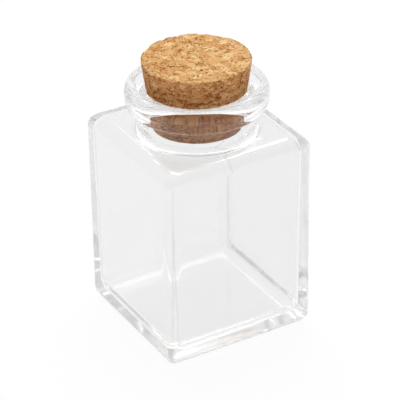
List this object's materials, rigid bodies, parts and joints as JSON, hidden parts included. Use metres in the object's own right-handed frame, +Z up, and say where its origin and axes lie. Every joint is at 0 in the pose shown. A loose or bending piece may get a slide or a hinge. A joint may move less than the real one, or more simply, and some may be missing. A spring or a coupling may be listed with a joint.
{
  "type": "glass jar with cork stopper",
  "caption": "Square clear glass jar with rounded edges, a round neck with a thick flared lip, and a tapered cork stopper that lifts out of the mouth.",
  "frame": {"origin": "middle of the jar's underside, on the surface it stands on", "axes": "+Z up along the axis of the neck and stopper, +X and +Y square to the flat sides of the body"},
  "size_m": [0.05, 0.05, 0.0884],
  "materials": {
    "clear_glass": "clear and polished, slightly wavy",
    "cork": "matt agglomerated cork, light tan with darker brown granules"
  },
  "bodies": {
    "jar": {"glass_jar": "clear_glass"},
    "stopper": {"cork_stopper": "cork"}
  },
  "joints": [
    {"name": "stopper_lift", "type": "slide", "parent": "jar", "child": "stopper", "axis": [0, 0, 1], "range_m": [0, 0.035]}
  ]
}
